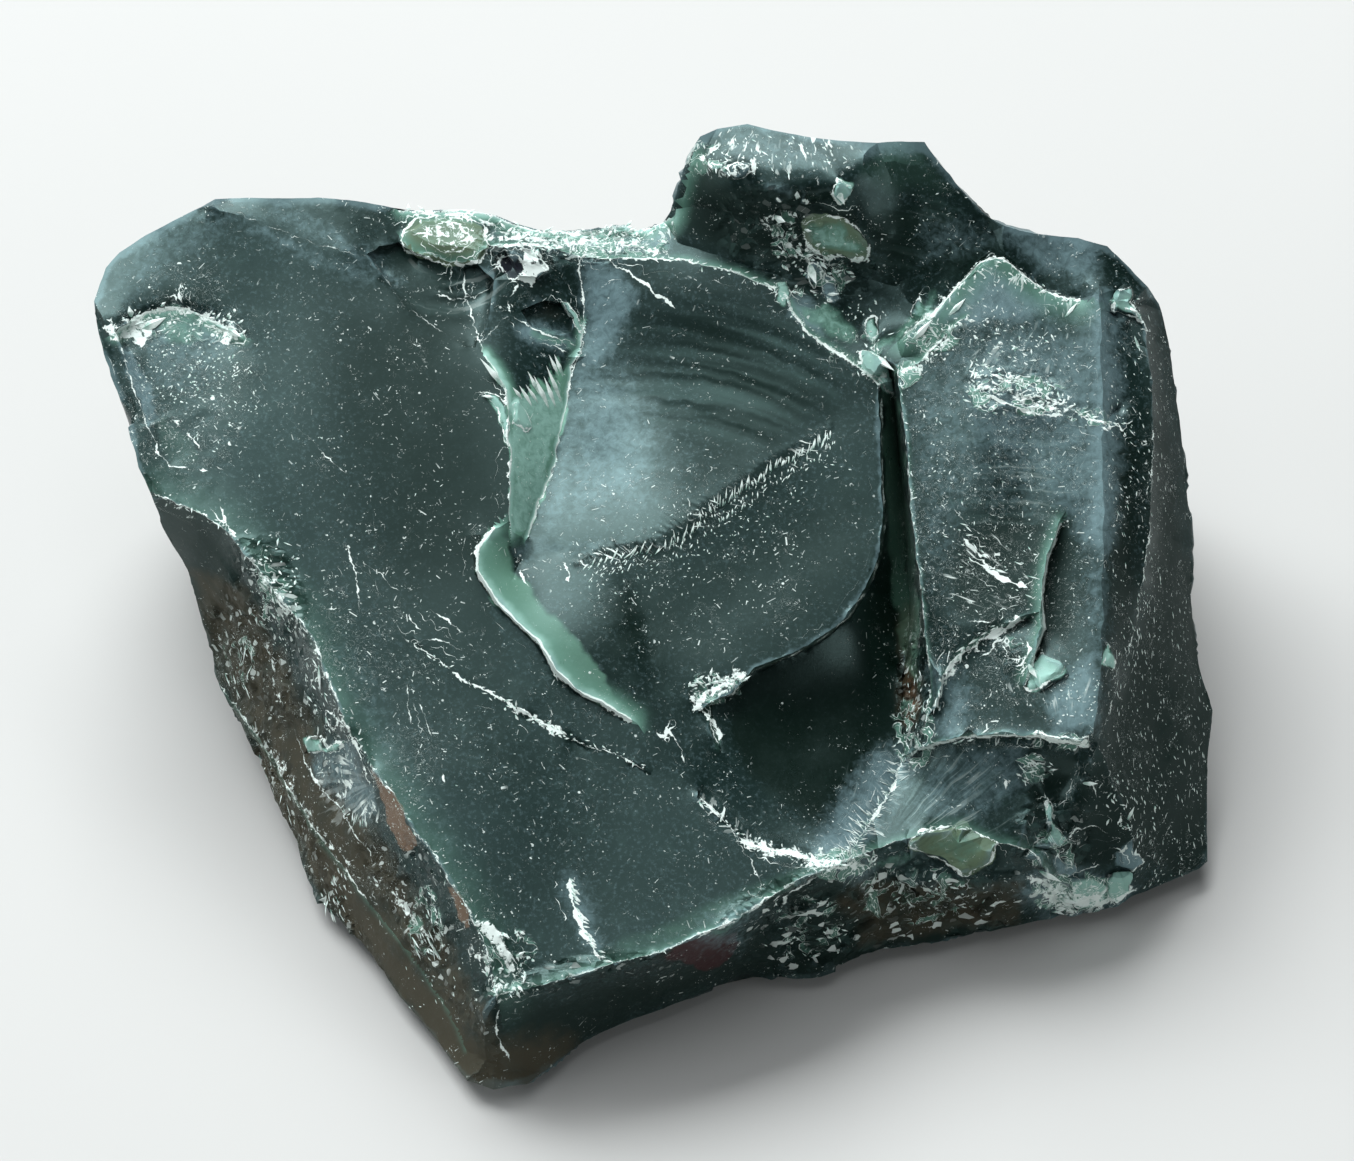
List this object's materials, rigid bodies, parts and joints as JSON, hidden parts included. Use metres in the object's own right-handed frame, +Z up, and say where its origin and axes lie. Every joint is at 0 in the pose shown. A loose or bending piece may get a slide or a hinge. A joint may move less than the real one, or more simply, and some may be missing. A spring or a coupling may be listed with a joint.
{
  "type": "raw green quartz",
  "caption": "Rough broken block of dark green quartz with a flat slab face, a shell-shaped scoop, a deep crevice and a hump at the back; it rests on its flat sole.",
  "frame": {"origin": "centre of the bounding box, on the table plane", "axes": "+X along the long side, +Y away from the low near corner towards the hump, +Z up"},
  "size_m": [0.1684, 0.14, 0.0723],
  "materials": {
    "quartz": "fresh glassy to waxy conchoidal fracture, rough weathered skin on the near walls"
  },
  "bodies": {
    "root": {"green_quartz": "quartz"}
  },
  "joints": []
}
